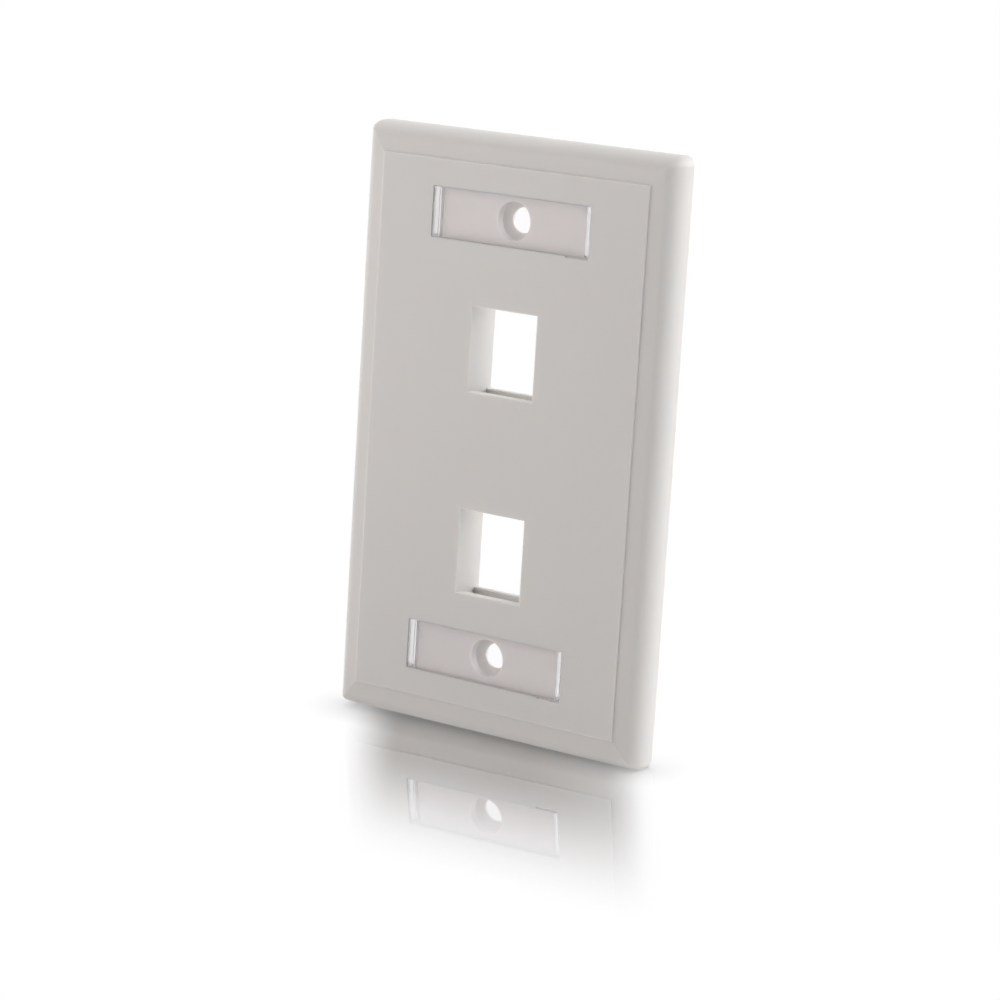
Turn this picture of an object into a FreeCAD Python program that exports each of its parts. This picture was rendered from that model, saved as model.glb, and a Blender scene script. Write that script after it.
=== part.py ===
import FreeCAD
import Part
import math
import os

# A two-port, single-gang keystone faceplate with two clear snap-in label covers.
# Millimetres. The origin is midway between the two screw holes, on the wall plane.
# +X is to the right seen from the front, +Z is up, and the face looks along -Y.
# A depth is measured back from the raised field of the face.

Vector = FreeCAD.Vector

# Plate shell: a skin across the front and a skirt round it that meets the wall
PLATE_WIDTH = 69.85
PLATE_HEIGHT = 114.3
PLATE_DEPTH = 6.65
CORNER_RADIUS = 1.8
SKIN = 1.8
SKIRT_WALL = 1.8
SKIRT_ROOT_RADIUS = 1.6

# Front relief: a raised flat field, a step down to a sloping band, then the rounding
FIELD_INSET_SIDES = 5.05
FIELD_INSET_ENDS = 5.45
FIELD_RISE = 0.3
BAND_FALL = 0.3
ROUNDING_WIDTH = 3.0
ROUNDING_DEPTH = 4.5
EDGE_RADIUS = 0.2

# Screw holes: wells that sink the oval-head screws of a wall box below the label covers
SCREW_PITCH = 83.34
SCREW_HOLE_DIA = 4.8
SCREW_WELL_DIA = 7.4
SCREW_WELL_DEPTH = 1.8
COUNTERSINK_ANGLE = 82.0
SCREW_SEAT_DEPTH = 3.8
SCREW_BOSS_DIA = 10.6

# Label recesses, one round each screw hole, and the pad that backs each of them
RECESS_WIDTH = 35.5
RECESS_HEIGHT = 9.62
RECESS_DEPTH = 1.8
RECESS_FLOOR = 1.4
PAD_MARGIN = 1.6
SLOT_WIDTH = 1.8
PRY_NOTCH_LENGTH = 5.0
PRY_NOTCH_SIZE = 0.45

# Clear label covers: a flat window with a leg through a slot at each end
COVER_SET_BACK = 0.05
COVER_THICKNESS = 1.2
COVER_GAP = 0.05
COVER_PLAY = 0.15
COVER_EDGE_RADIUS = 0.05
LEG_THICKNESS = 1.3
LEG_PROJECTION = 0.9
LEG_TIP_CHAMFER = 0.3

# Keystone ports and the sockets behind them
PORT_WIDTH = 14.65
PORT_HEIGHT = 16.15
PORT_PITCH = 38.6
PORTS_BELOW_CENTRE = 2.4
SOCKET_WALL = 1.6
SOCKET_DEPTH = 8.3
LUG_POCKET = 2.0
LATCH_ROOM = 4.0
LATCH_CATCH = 2.0
CATCH_LENGTH = 2.0
CATCH_LAND = 0.9
CATCH_RAMP_DROP = 0.9
LEAD_IN = 0.5

# Stiffening ribs that run on from the socket walls along the back of the skin
RIB_THICKNESS = 1.2
RIB_DEPTH = 4.2

# How far a cutting solid stands past the material that it cuts
OVERSHOOT = 1.0


def at_depth(depth):
    return depth - PLATE_DEPTH


def block(x_range, depth_range, z_range):
    """A box between two X values, two depths and two Z values."""
    size = [high - low for low, high in (x_range, depth_range, z_range)]
    return Part.makeBox(*size, Vector(x_range[0], at_depth(depth_range[0]), z_range[0]))


def about(middle, width):
    """The two ends of a width that is centred on a middle."""
    return middle - width / 2, middle + width / 2


def extrude(points, direction):
    return Part.Face(Part.makePolygon(points + points[:1])).extrude(direction)


def edges_at_depth(solid, depth):
    """The edges of a solid that lie in one plane parallel to the face."""
    level = at_depth(depth)
    flat = []
    for edge in solid.Edges:
        box = edge.BoundBox
        if abs(box.YMin - level) < 1e-6 and abs(box.YMax - level) < 1e-6:
            flat.append(edge)
    return flat


def band_end_depth():
    return FIELD_RISE + BAND_FALL


def rim_point(across, inset, extent):
    """A point on the rounding of the rim, by its distance in from the plate's side."""
    reach = (ROUNDING_WIDTH - inset) / ROUNDING_WIDTH
    depth = band_end_depth() + ROUNDING_DEPTH * (1 - math.sqrt(1 - reach * reach))
    return across * (extent - inset) + Vector(0, at_depth(depth), 0)


def rounding(across, extent, inset):
    """The rim's elliptical rounding, from the plate's side to a distance in from it."""
    side_end = rim_point(across, 0, extent)
    band_end = rim_point(across, ROUNDING_WIDTH, extent)
    centre = Vector(across * (extent - ROUNDING_WIDTH))
    centre.y = side_end.y
    ellipse = Part.Ellipse(band_end, side_end, centre)
    ends = sorted((ellipse.parameter(side_end), ellipse.parameter(rim_point(across, inset, extent))))
    if ends[1] - ends[0] > math.pi:
        ends = [ends[1], ends[0] + 2 * math.pi]
    return Part.ArcOfEllipse(ellipse, *ends).toShape()


def closed_face(edges):
    return Part.Face(Part.Wire(Part.__sortEdges__(edges)))


def rim_section(extent, field_inset, across):
    """The shell's outer section across one direction, closed along the wall plane."""
    half = extent / 2
    to_wall = Vector(0, at_depth(PLATE_DEPTH), 0)
    edges = [Part.makeLine(across * half + to_wall, across * -half + to_wall)]
    band_starts = []
    for side in (across, across * -1):
        band_start = side * (half - field_inset) + Vector(0, at_depth(FIELD_RISE), 0)
        band_starts.append(band_start)
        edges.append(Part.makeLine(side * half + to_wall, rim_point(side, 0, half)))
        edges.append(rounding(side, half, ROUNDING_WIDTH))
        edges.append(Part.makeLine(rim_point(side, ROUNDING_WIDTH, half), band_start))
    edges.append(Part.makeLine(*band_starts))
    return closed_face(edges)


def turned_corner():
    """The plate's upper right corner, where the rim's section turns about one axis."""
    across = Vector(1, 0, 0)
    inner = rim_point(across, CORNER_RADIUS, CORNER_RADIUS)
    outer = rim_point(across, 0, CORNER_RADIUS)
    wall_side = Vector(CORNER_RADIUS, at_depth(PLATE_DEPTH), 0)
    wall_axis = Vector(0, at_depth(PLATE_DEPTH), 0)
    section = closed_face([
        rounding(across, CORNER_RADIUS, CORNER_RADIUS),
        Part.makeLine(outer, wall_side),
        Part.makeLine(wall_side, wall_axis),
        Part.makeLine(wall_axis, inner),
    ])
    corner = section.revolve(Vector(0, 0, 0), Vector(0, -1, 0), 90)
    corner.translate(Vector(PLATE_WIDTH / 2 - CORNER_RADIUS, 0, PLATE_HEIGHT / 2 - CORNER_RADIUS))
    return corner


def four_corners(corner):
    """A solid of the upper right corner and its three mirrored copies."""
    origin = Vector(0, 0, 0)
    upper_left = corner.mirror(origin, Vector(1, 0, 0))
    upper = [corner, upper_left]
    return upper + [solid.mirror(origin, Vector(0, 0, 1)) for solid in upper]


def outer_form():
    """The plate with no hollow: mitred rim sections, turned corners, and the field."""
    across, upright = Vector(1, 0, 0), Vector(0, 0, 1)
    sides = rim_section(PLATE_WIDTH, FIELD_INSET_SIDES, across)
    sides.translate(upright * (-PLATE_HEIGHT / 2))
    ends = rim_section(PLATE_HEIGHT, FIELD_INSET_ENDS, upright)
    ends.translate(across * (-PLATE_WIDTH / 2))
    form = sides.extrude(upright * PLATE_HEIGHT).common(ends.extrude(across * PLATE_WIDTH))
    square = block(
        (PLATE_WIDTH / 2 - CORNER_RADIUS, PLATE_WIDTH / 2 + OVERSHOOT),
        (-OVERSHOOT, PLATE_DEPTH + OVERSHOOT),
        (PLATE_HEIGHT / 2 - CORNER_RADIUS, PLATE_HEIGHT / 2 + OVERSHOOT),
    )
    form = form.cut(four_corners(square)).fuse(four_corners(turned_corner()))
    field = block(
        about(0, PLATE_WIDTH - 2 * FIELD_INSET_SIDES),
        (0, FIELD_RISE + BAND_FALL),
        about(0, PLATE_HEIGHT - 2 * FIELD_INSET_ENDS),
    )
    return form.fuse(field)


def hollow():
    """The space inside the skirt, with a rounded root where skirt and skin meet."""
    space = block(
        about(0, PLATE_WIDTH - 2 * SKIRT_WALL),
        (SKIN, PLATE_DEPTH + OVERSHOOT),
        about(0, PLATE_HEIGHT - 2 * SKIRT_WALL),
    )
    upright = [e for e in space.Edges if e.BoundBox.YLength > PLATE_DEPTH / 2]
    return space.makeFillet(SKIRT_ROOT_RADIUS, upright + edges_at_depth(space, SKIN))


def port_floor(middle):
    return middle - PORT_HEIGHT / 2


def socket_body(middle):
    """The four walls of one socket, still solid inside."""
    floor = port_floor(middle)
    return block(
        about(0, PORT_WIDTH + 2 * SOCKET_WALL),
        (SKIN / 2, SOCKET_DEPTH),
        (floor - LUG_POCKET - SOCKET_WALL, floor + PORT_HEIGHT + LATCH_ROOM + SOCKET_WALL),
    )


def socket_space(middle):
    """What is open in a socket: the port, the lug pocket under its lip, and the room for
    the latch above. A ridge at the back of each holds the jack, and has a ramp behind."""
    low = port_floor(middle)
    high = low + PORT_HEIGHT
    lug_floor = low - LUG_POCKET
    latch_roof = high + LATCH_ROOM
    catch_line = latch_roof - LATCH_CATCH
    catch_front = SOCKET_DEPTH - CATCH_LENGTH
    ramp_start = catch_front + CATCH_LAND
    past_back = SOCKET_DEPTH + OVERSHOOT
    section = [
        (-OVERSHOOT, low),
        (SKIN, low),
        (SKIN, lug_floor),
        (catch_front, lug_floor),
        (catch_front, low),
        (ramp_start, low),
        (SOCKET_DEPTH, low - CATCH_RAMP_DROP),
        (past_back, low - CATCH_RAMP_DROP),
        (past_back, catch_line + CATCH_RAMP_DROP),
        (SOCKET_DEPTH, catch_line + CATCH_RAMP_DROP),
        (ramp_start, catch_line),
        (catch_front, catch_line),
        (catch_front, latch_roof),
        (SKIN, latch_roof),
        (SKIN, high),
        (-OVERSHOOT, high),
    ]
    points = [Vector(-PORT_WIDTH / 2, at_depth(depth), z) for depth, z in section]
    return extrude(points, Vector(PORT_WIDTH, 0, 0)).fuse(socket_lead_in(middle))


def socket_lead_in(middle):
    """The flare on the inner edges of the two side walls at the socket's back."""
    low = port_floor(middle) - CATCH_RAMP_DROP
    high = port_floor(middle) + PORT_HEIGHT + LATCH_ROOM - LATCH_CATCH + CATCH_RAMP_DROP
    half = PORT_WIDTH / 2
    section = [
        (-half, SOCKET_DEPTH - LEAD_IN),
        (half, SOCKET_DEPTH - LEAD_IN),
        (half + LEAD_IN, SOCKET_DEPTH),
        (-half - LEAD_IN, SOCKET_DEPTH),
    ]
    points = [Vector(x, at_depth(depth), low) for x, depth in section]
    return extrude(points, Vector(0, 0, high - low))


def label_pad(middle):
    """The thicker patch behind a label recess, and the boss round its screw hole."""
    pad = block(
        about(0, RECESS_WIDTH + 2 * PAD_MARGIN),
        (SKIN / 2, RECESS_DEPTH + RECESS_FLOOR),
        about(middle, RECESS_HEIGHT + 2 * PAD_MARGIN),
    )
    back = RECESS_DEPTH + SCREW_SEAT_DEPTH
    start = Vector(0, at_depth(SKIN), middle)
    boss = Part.makeCylinder(SCREW_BOSS_DIA / 2, back - SKIN, start, Vector(0, 1, 0))
    return pad.fuse(boss)


def screw_hole(middle):
    """A well below the recess floor, its countersunk seat, and the hole through the boss."""
    radius = SCREW_HOLE_DIA / 2
    rim = SCREW_WELL_DIA / 2
    taper = (rim - radius) / math.tan(math.radians(COUNTERSINK_ANGLE / 2))
    inward = Vector(0, 1, 0)
    floor = Vector(0, at_depth(RECESS_DEPTH), middle)
    seat = floor + inward * SCREW_WELL_DEPTH
    through = Part.makeCylinder(radius, SCREW_SEAT_DEPTH + OVERSHOOT, floor, inward)
    well = Part.makeCylinder(rim, SCREW_WELL_DEPTH + OVERSHOOT, floor - inward * OVERSHOOT, inward)
    return through.fuse([well, Part.makeCone(rim, radius, taper, seat, inward)])


def cover_ends():
    """The X values of a cover's two ends: its play in the recess is all at the left."""
    return -RECESS_WIDTH / 2 + COVER_PLAY, RECESS_WIDTH / 2 - COVER_GAP


def pry_notch(middle):
    """A bevel in the lower edge of a recess, at its right end, where a blade gets under."""
    end = RECESS_WIDTH / 2
    edge = middle - RECESS_HEIGHT / 2
    section = [
        (-OVERSHOOT, edge - PRY_NOTCH_SIZE - OVERSHOOT),
        (-OVERSHOOT, edge + OVERSHOOT),
        (PRY_NOTCH_SIZE, edge + OVERSHOOT),
        (PRY_NOTCH_SIZE, edge),
    ]
    points = [Vector(end - PRY_NOTCH_LENGTH, at_depth(depth), z) for depth, z in section]
    return extrude(points, Vector(PRY_NOTCH_LENGTH, 0, 0))


def label_recess(middle):
    """A recess with a slot at each end, which the legs of the cover pass through."""
    left, right = -RECESS_WIDTH / 2, RECESS_WIDTH / 2
    z_range = about(middle, RECESS_HEIGHT)
    through = (RECESS_DEPTH / 2, RECESS_DEPTH + RECESS_FLOOR + OVERSHOOT)
    recess = block((left, right), (-OVERSHOOT, RECESS_DEPTH), z_range)
    slots = [
        block((left, left + SLOT_WIDTH), through, z_range),
        block((right - SLOT_WIDTH, right), through, z_range),
    ]
    return recess.fuse(slots + [pry_notch(middle)])


def rib(x):
    """One long rib between the two label pads, in line with the sockets' side walls."""
    reach = SCREW_PITCH / 2 - RECESS_HEIGHT / 2 - PAD_MARGIN / 2
    return block(about(x, RIB_THICKNESS), (SKIN / 2, RIB_DEPTH), (-reach, reach))


def faceplate():
    screws = (SCREW_PITCH / 2, -SCREW_PITCH / 2)
    ports = (PORT_PITCH / 2 - PORTS_BELOW_CENTRE, -PORT_PITCH / 2 - PORTS_BELOW_CENTRE)
    rib_line = (PORT_WIDTH + SOCKET_WALL) / 2
    plate = outer_form().cut(hollow())
    added = [label_pad(z) for z in screws]
    added += [socket_body(z) for z in ports]
    added += [rib(-rib_line), rib(rib_line)]
    plate = plate.fuse(added).cut([socket_space(z) for z in ports]).removeSplitter()
    plate = plate.makeFillet(EDGE_RADIUS, edges_at_depth(plate, 0))
    removed = [label_recess(z) for z in screws] + [screw_hole(z) for z in screws]
    return plate.cut(removed).removeSplitter().Solids[0]


def cover_leg(x_range, middle):
    tip = RECESS_DEPTH + RECESS_FLOOR + LEG_PROJECTION
    z_range = about(middle, RECESS_HEIGHT - 2 * COVER_GAP)
    leg = block(x_range, (COVER_SET_BACK + COVER_THICKNESS / 2, tip), z_range)
    return leg.makeChamfer(LEG_TIP_CHAMFER, edges_at_depth(leg, tip))


def label_cover(middle):
    """One clear cover, moulded in one piece with its two legs."""
    left, right = cover_ends()
    z_range = about(middle, RECESS_HEIGHT - 2 * COVER_GAP)
    window = block((left, right), (COVER_SET_BACK, COVER_SET_BACK + COVER_THICKNESS), z_range)
    legs = [
        cover_leg((left, left + LEG_THICKNESS), middle),
        cover_leg((right - LEG_THICKNESS, right), middle),
    ]
    cover = window.fuse(legs).removeSplitter()
    front = edges_at_depth(cover, COVER_SET_BACK)
    return cover.makeFillet(COVER_EDGE_RADIUS, front).Solids[0]


def main():
    os.makedirs("parts", exist_ok=True)
    parts = {
        "faceplate": faceplate(),
        "upper_label_cover": label_cover(SCREW_PITCH / 2),
        "lower_label_cover": label_cover(-SCREW_PITCH / 2),
    }
    for name, solid in parts.items():
        if not solid.isValid():
            raise ValueError(name + " is not a valid solid")
        solid.exportStep("parts/" + name + ".step")
        box = solid.BoundBox
        print(name, round(solid.Volume, 2), [round(v, 3) for v in (box.XMin, box.YMin, box.ZMin)],
              [round(v, 3) for v in (box.XMax, box.YMax, box.ZMax)])


main()
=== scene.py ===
import bmesh
import bpy
from mathutils import Matrix, Vector

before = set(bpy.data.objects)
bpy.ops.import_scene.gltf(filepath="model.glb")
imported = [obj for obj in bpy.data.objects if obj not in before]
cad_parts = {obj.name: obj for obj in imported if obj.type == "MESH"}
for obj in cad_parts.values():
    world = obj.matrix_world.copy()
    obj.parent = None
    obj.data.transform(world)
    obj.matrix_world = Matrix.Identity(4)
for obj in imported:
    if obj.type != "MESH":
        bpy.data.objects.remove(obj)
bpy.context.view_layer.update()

# A two-port keystone faceplate standing on a glossy white table in a light tent.
# Metres, in the row frame: +X right, +Y into the wall, +Z up. The face looks along -Y.

MILLIMETRE = 0.001

# Camera: a long lens to the right of the plate's normal and a little above it
CAMERA_PLACE = (0.3563, -0.52718, 0.1148)
CAMERA_RIGHT = (0.81797, 0.57201, 0.06112)
CAMERA_UP = (-0.16116, 0.12586, 0.97887)
CAMERA_BACK = (0.55223, -0.81054, 0.19514)
CAMERA_LENS = 123.478
CAMERA_SENSOR = 36.0
CAMERA_NEAREST = 0.01

# Light tent: an even glow, and soft walls of light, each with the way to it and its strength.
# The edges are the cosines of the angle from that way at which a wall starts and is full.
TENT_GLOW = 0.03
TENT_WALLS = (
    ((0.94, 0.34, 0.0), 0.4),
    ((0.77, 0.64, 0.0), 3.3),
    ((0.0, 0.34, 0.94), 0.8),
)
TENT_WALL_EDGE = (0.5, 0.95)

# High up in front the tent has no wall, so gloss shows it dark there
TENT_FRONT = (-0.45, -0.66, 0.60)
TENT_FRONT_EDGE = (0.80, 0.93)
TENT_FRONT_DARKEST = 0.1

# Key light: a soft box up and to the left, in front of the plate
KEY_PLACE = (-0.34, -0.42, 0.305)
KEY_SIZE = (0.76, 0.76)
KEY_POWER = 3.1
KEY_WHITE = "fffbf9"

# Table: the plate leans back on it, so it isn't level in the plate's own frame
TABLE_POINT = (0.0349, 0.0, -0.05680)
TABLE_NORMAL = (-0.009, -0.0855, 0.9963)
TABLE_REACH = 2.0
TABLE_WHITE = "e6e6e6"
TABLE_ROUGHNESS = 0.5
TABLE_GLOW = 0.13

# The table's mirror: its share at the plate's foot, and where it starts and is full on each side.
# Left and right are read on X plus the slant times Y, and front and back on Y.
MIRROR_TINT = "efefef"
MIRROR_ROUGHNESS = 0.03
MIRROR_MOST = 0.95
MIRROR_SLANT = 0.70
MIRROR_LEFT = (-0.0370, -0.0225)
MIRROR_RIGHT = (0.0365, 0.0235)
MIRROR_RIGHT_WIDE = (0.075, 0.005)
MIRROR_FRONT = (-0.068, -0.015)
MIRROR_BACK = (0.02, 0.0)

# Painted shade on the table: the dark line where the plate meets it, where ambient occlusion darkens
# the table's white glow
CONTACT_REACH = 8 * MILLIMETRE
CONTACT_DARKEST = 0.5
CONTACT_SAMPLES = 16

# Moulded ABS: each pattern has a size and depth that are usual on a satin moulding
ABS_WHITE = "dddbd9"
ABS_WHITE_DEEPER = "dad8d6"
ABS_IOR = 1.54
ABS_ROUGHNESS = (0.33, 0.41)
ABS_FLOW_SIZE = 30 * MILLIMETRE
ABS_SWELL_SIZE = 9 * MILLIMETRE
ABS_SWELL_DEPTH = 0.03 * MILLIMETRE
ABS_SWELL_STRENGTH = 0.3
ABS_GRAIN_SIZE = 0.25 * MILLIMETRE
ABS_GRAIN_DEPTH = 0.01 * MILLIMETRE
ABS_GRAIN_STRENGTH = 0.25
ABS_LIGHT_DEPTH = 1.0 * MILLIMETRE
ABS_LIGHT_SPREAD = (1.0, 0.9, 0.8)

# Clear polycarbonate: how rough and how cloudy a face is that looks along each axis
CLEAR_RESIN = "fdfbfc"
CLEAR_IOR = 1.585
CLEAR_HAZE_SIZE = 4 * MILLIMETRE
CLEAR_ROUGHNESS = (0.01, 0.05)
SIDE_FROST = (0.12, 0.0, 0.30)
SIDE_CLOUD = (0.45, 0.0, 0.80)

WHITE = "ffffff"


def colour(code):
    """A linear colour with alpha from a six-digit sRGB hex value."""
    linear = []
    for start in (0, 2, 4):
        value = int(code[start:start + 2], 16) / 255
        linear.append(value / 12.92 if value <= 0.04045 else ((value + 0.055) / 1.055) ** 2.4)
    return (*linear, 1.0)


def add(tree, kind, inputs=None, **settings):
    """Adds one node: its settings, then each input as a link or as a value."""
    node = tree.nodes.new(kind)
    for name, value in settings.items():
        setattr(node, name, value)
    for socket, value in (inputs or {}).items():
        if isinstance(value, bpy.types.NodeSocket):
            tree.links.new(value, node.inputs[socket])
        else:
            node.inputs[socket].default_value = value
    return node


def new_material(name):
    material = bpy.data.materials.new(name)
    material.use_nodes = True
    material.node_tree.nodes.clear()
    return material, material.node_tree


def moulded_abs():
    """Injection-moulded ABS, off-white. A finely blasted mould leaves a satin skin with a grain
    of about a quarter of a millimetre, and the melt's flow leaves soft, wide unevenness."""
    material, tree = new_material("moulded_white_abs")
    place = add(tree, "ShaderNodeTexCoord").outputs["Object"]
    flow = add(tree, "ShaderNodeTexNoise", {
        "Vector": place, "Scale": 1 / ABS_FLOW_SIZE, "Detail": 2.0,
    })
    tint = add(tree, "ShaderNodeMixRGB", {
        "Fac": flow.outputs["Fac"], "Color1": colour(ABS_WHITE), "Color2": colour(ABS_WHITE_DEEPER),
    })
    grain = add(tree, "ShaderNodeTexNoise", {
        "Vector": place, "Scale": 1 / ABS_GRAIN_SIZE, "Detail": 2.0,
    })
    satin = add(tree, "ShaderNodeMapRange", {
        "Value": grain.outputs["Fac"], "To Min": ABS_ROUGHNESS[0], "To Max": ABS_ROUGHNESS[1],
    })
    fine = add(tree, "ShaderNodeBump", {
        "Height": grain.outputs["Fac"], "Strength": ABS_GRAIN_STRENGTH, "Distance": ABS_GRAIN_DEPTH,
    })
    swell = add(tree, "ShaderNodeTexNoise", {
        "Vector": place, "Scale": 1 / ABS_SWELL_SIZE, "Detail": 1.0,
    })
    skin = add(tree, "ShaderNodeBump", {
        "Height": swell.outputs["Fac"], "Strength": ABS_SWELL_STRENGTH, "Distance": ABS_SWELL_DEPTH,
        "Normal": fine.outputs["Normal"],
    })
    shader = add(tree, "ShaderNodeBsdfPrincipled", {
        "Base Color": tint.outputs["Color"], "Roughness": satin.outputs["Result"], "IOR": ABS_IOR,
        "Normal": skin.outputs["Normal"], "Subsurface Weight": 1.0,
        "Subsurface Radius": ABS_LIGHT_SPREAD, "Subsurface Scale": ABS_LIGHT_DEPTH,
    })
    add(tree, "ShaderNodeOutputMaterial", {"Surface": shader.outputs["BSDF"]})
    return material


def clear_polycarbonate():
    """Clear polycarbonate. Its faces come from a polished mould and are glassy, with a trace of
    handling haze. Its sides come from plain steel, so they are frosted and catch the light."""
    material, tree = new_material("clear_polycarbonate_polished")
    texture = add(tree, "ShaderNodeTexCoord")
    haze = add(tree, "ShaderNodeTexNoise", {
        "Vector": texture.outputs["Object"], "Scale": 1 / CLEAR_HAZE_SIZE, "Detail": 3.0,
    })
    polish = add(tree, "ShaderNodeMapRange", {
        "Value": haze.outputs["Fac"], "To Min": CLEAR_ROUGHNESS[0], "To Max": CLEAR_ROUGHNESS[1],
    })
    sideways = add(tree, "ShaderNodeVectorMath", {0: texture.outputs["Normal"]},
                   operation="ABSOLUTE").outputs["Vector"]
    frost = add(tree, "ShaderNodeVectorMath", {0: sideways, 1: SIDE_FROST},
                operation="DOT_PRODUCT")
    finish = add(tree, "ShaderNodeMath", {0: frost.outputs["Value"], 1: polish.outputs["Result"]})
    cloud = add(tree, "ShaderNodeVectorMath", {0: sideways, 1: SIDE_CLOUD},
                operation="DOT_PRODUCT")
    clarity = add(tree, "ShaderNodeMath", {0: 1.0, 1: cloud.outputs["Value"]},
                  operation="SUBTRACT")
    shader = add(tree, "ShaderNodeBsdfPrincipled", {
        "Base Color": colour(CLEAR_RESIN), "Roughness": finish.outputs[0], "IOR": CLEAR_IOR,
        "Transmission Weight": clarity.outputs[0],
    })
    add(tree, "ShaderNodeOutputMaterial", {"Surface": shader.outputs["BSDF"]})
    return material


def soft_step(tree, value, start, end):
    """0 at the start, 1 at the end, and smooth between them."""
    return add(tree, "ShaderNodeMapRange", {
        "Value": value, "From Min": start, "From Max": end,
    }, interpolation_type="SMOOTHSTEP").outputs["Result"]


def seen_rays(tree):
    """1 for a ray that the eye follows, straight or through glass and gloss, and 0 for light."""
    path = add(tree, "ShaderNodeLightPath")
    gloss = add(tree, "ShaderNodeMath", {
        0: path.outputs["Is Camera Ray"], 1: path.outputs["Is Glossy Ray"],
    }, operation="MAXIMUM")
    glass = add(tree, "ShaderNodeMath", {
        0: gloss.outputs[0], 1: path.outputs["Is Transmission Ray"],
    }, operation="MAXIMUM")
    first = add(tree, "ShaderNodeMath", {
        0: path.outputs["Diffuse Depth"], 1: 0.5,
    }, operation="LESS_THAN")
    both = add(tree, "ShaderNodeMath", {0: glass.outputs[0], 1: first.outputs[0]},
               operation="MULTIPLY")
    return both.outputs[0]


def tent_light(tree, direction):
    """What the tent sheds on the object: its glow and its walls."""
    level = TENT_GLOW
    for way, strength in TENT_WALLS:
        facing = add(tree, "ShaderNodeVectorMath", {0: direction, 1: way}, operation="DOT_PRODUCT")
        wall = soft_step(tree, facing.outputs["Value"], *TENT_WALL_EDGE)
        level = add(tree, "ShaderNodeMath", {0: wall, 1: strength, 2: level},
                    operation="MULTIPLY_ADD").outputs[0]
    return add(tree, "ShaderNodeBackground", {"Color": colour(WHITE), "Strength": level})


def tent_backdrop(tree, direction):
    """What the eye sees of the tent: plain white, and in gloss darker where it has no wall."""
    backdrop = add(tree, "ShaderNodeBackground", {"Color": colour(WHITE), "Strength": 1.0})
    ahead = add(tree, "ShaderNodeVectorMath", {0: direction, 1: TENT_FRONT},
                operation="DOT_PRODUCT")
    front = add(tree, "ShaderNodeMapRange", {
        "Value": soft_step(tree, ahead.outputs["Value"], *TENT_FRONT_EDGE),
        "To Min": 1.0, "To Max": TENT_FRONT_DARKEST,
    })
    mirrored = add(tree, "ShaderNodeBackground", {
        "Color": colour(WHITE), "Strength": front.outputs["Result"],
    })
    path = add(tree, "ShaderNodeLightPath")
    glossed = add(tree, "ShaderNodeMath", {
        0: path.outputs["Glossy Depth"], 1: 0.5,
    }, operation="GREATER_THAN")
    return add(tree, "ShaderNodeMixShader", {
        "Fac": glossed.outputs[0], 1: backdrop.outputs[0], 2: mirrored.outputs[0],
    })


def light_tent():
    world = bpy.data.worlds.new("light_tent")
    world.use_nodes = True
    tree = world.node_tree
    tree.nodes.clear()
    direction = add(tree, "ShaderNodeTexCoord").outputs["Generated"]
    mixed = add(tree, "ShaderNodeMixShader", {
        "Fac": seen_rays(tree), 1: tent_light(tree, direction).outputs[0],
        2: tent_backdrop(tree, direction).outputs[0],
    })
    add(tree, "ShaderNodeOutputWorld", {"Surface": mixed.outputs[0]})
    bpy.context.scene.world = world


def key_lamp():
    """A soft box near the plate's upper left front, which lights its face unevenly. Gloss doesn't
    show it, so the covers stay clear in every view."""
    light = bpy.data.lights.new("soft_box", "AREA")
    light.shape = "RECTANGLE"
    light.size, light.size_y = KEY_SIZE
    light.energy = KEY_POWER
    light.color = colour(KEY_WHITE)[:3]
    box = bpy.data.objects.new("soft_box", light)
    box.location = KEY_PLACE
    box.rotation_euler = (-Vector(KEY_PLACE)).to_track_quat("-Z", "Y").to_euler()
    box.visible_glossy = False
    bpy.context.scene.collection.objects.link(box)


def mirror_share(tree):
    """How much of the table is a mirror: most at the plate's foot, none a few centimetres away."""
    place = add(tree, "ShaderNodeSeparateXYZ", {
        "Vector": add(tree, "ShaderNodeTexCoord").outputs["Object"],
    })
    along = place.outputs["Y"]
    across = add(tree, "ShaderNodeMath", {
        0: along, 1: MIRROR_SLANT, 2: place.outputs["X"],
    }, operation="MULTIPLY_ADD").outputs[0]
    share = MIRROR_MOST
    for way, fade in (
        (across, MIRROR_LEFT), (across, MIRROR_RIGHT), (across, MIRROR_RIGHT_WIDE),
        (along, MIRROR_FRONT), (along, MIRROR_BACK),
    ):
        step = soft_step(tree, way, *fade)
        share = add(tree, "ShaderNodeMath", {0: share, 1: step}, operation="MULTIPLY").outputs[0]
    return share


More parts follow.
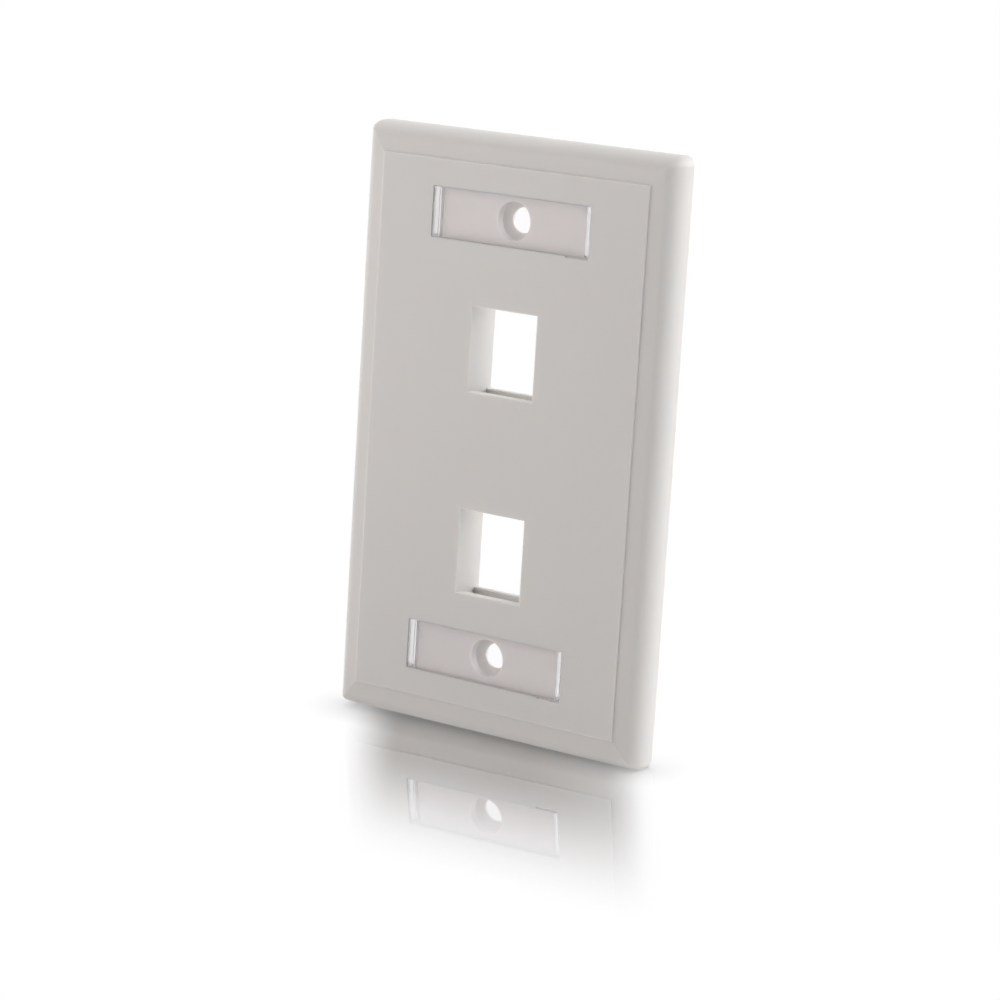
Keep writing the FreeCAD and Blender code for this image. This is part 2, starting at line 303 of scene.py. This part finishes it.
def white_acrylic():
    """Polished white acrylic. It mirrors what stands near it and fades to the white of the tent,
    and a painted shade darkens its white in the narrow gap under the plate.
    Light that bounces off it finds plain white."""
    material, tree = new_material("white_acrylic_table")
    path = add(tree, "ShaderNodeLightPath")
    # Painted shade: ambient occlusion darkens the white that the eye sees of the table near the
    # plate
    contact = add(tree, "ShaderNodeAmbientOcclusion", {"Distance": CONTACT_REACH},
                  samples=CONTACT_SAMPLES)
    painted_shade = add(tree, "ShaderNodeMapRange", {
        "Value": contact.outputs["AO"], "To Min": CONTACT_DARKEST,
    })
    white = add(tree, "ShaderNodeEmission", {
        "Color": colour(WHITE), "Strength": painted_shade.outputs["Result"],
    })
    mirror = add(tree, "ShaderNodeBsdfGlossy", {
        "Color": colour(MIRROR_TINT), "Roughness": MIRROR_ROUGHNESS,
    })
    near = add(tree, "ShaderNodeMixShader", {
        "Fac": mirror_share(tree), 1: white.outputs[0], 2: mirror.outputs[0],
    })
    plain = add(tree, "ShaderNodeBsdfPrincipled", {
        "Base Color": colour(TABLE_WHITE), "Roughness": TABLE_ROUGHNESS,
        "Emission Color": colour(WHITE), "Emission Strength": TABLE_GLOW,
    })
    looked_at = add(tree, "ShaderNodeMixShader", {
        "Fac": path.outputs["Is Camera Ray"], 1: white.outputs[0], 2: near.outputs[0],
    })
    mixed = add(tree, "ShaderNodeMixShader", {
        "Fac": seen_rays(tree), 1: plain.outputs[0], 2: looked_at.outputs[0],
    })
    add(tree, "ShaderNodeOutputMaterial", {"Surface": mixed.outputs[0]})
    return material


def table():
    shape = bmesh.new()
    bmesh.ops.create_grid(shape, x_segments=1, y_segments=1, size=TABLE_REACH)
    turn = Vector((0, 0, 1)).rotation_difference(Vector(TABLE_NORMAL))
    shape.transform(Matrix.Translation(TABLE_POINT) @ turn.to_matrix().to_4x4())
    mesh = bpy.data.meshes.new("table")
    shape.to_mesh(mesh)
    shape.free()
    mesh.materials.append(white_acrylic())
    piece = bpy.data.objects.new("table", mesh)
    bpy.context.scene.collection.objects.link(piece)


def camera():
    lens = bpy.data.cameras.new("camera")
    lens.sensor_width = CAMERA_SENSOR
    lens.lens = CAMERA_LENS
    lens.clip_start = CAMERA_NEAREST
    taker = bpy.data.objects.new("camera", lens)
    axes = Matrix((CAMERA_RIGHT, CAMERA_UP, CAMERA_BACK)).transposed().to_4x4()
    taker.matrix_world = Matrix.Translation(CAMERA_PLACE) @ axes
    bpy.context.scene.collection.objects.link(taker)
    bpy.context.scene.camera = taker


def dress():
    """Gives the plate and its two covers their finishes."""
    clear = clear_polycarbonate()
    finishes = {
        "faceplate": moulded_abs(),
        "upper_label_cover": clear,
        "lower_label_cover": clear,
    }
    for name, material in finishes.items():
        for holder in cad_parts[name].material_slots:
            holder.material = material


bpy.context.scene.view_settings.view_transform = "Standard"
# Unfiltered, so that light passes through the clear covers to the recesses behind them
bpy.context.scene.cycles.blur_glossy = 0.0
camera()
light_tent()
key_lamp()
table()
dress()
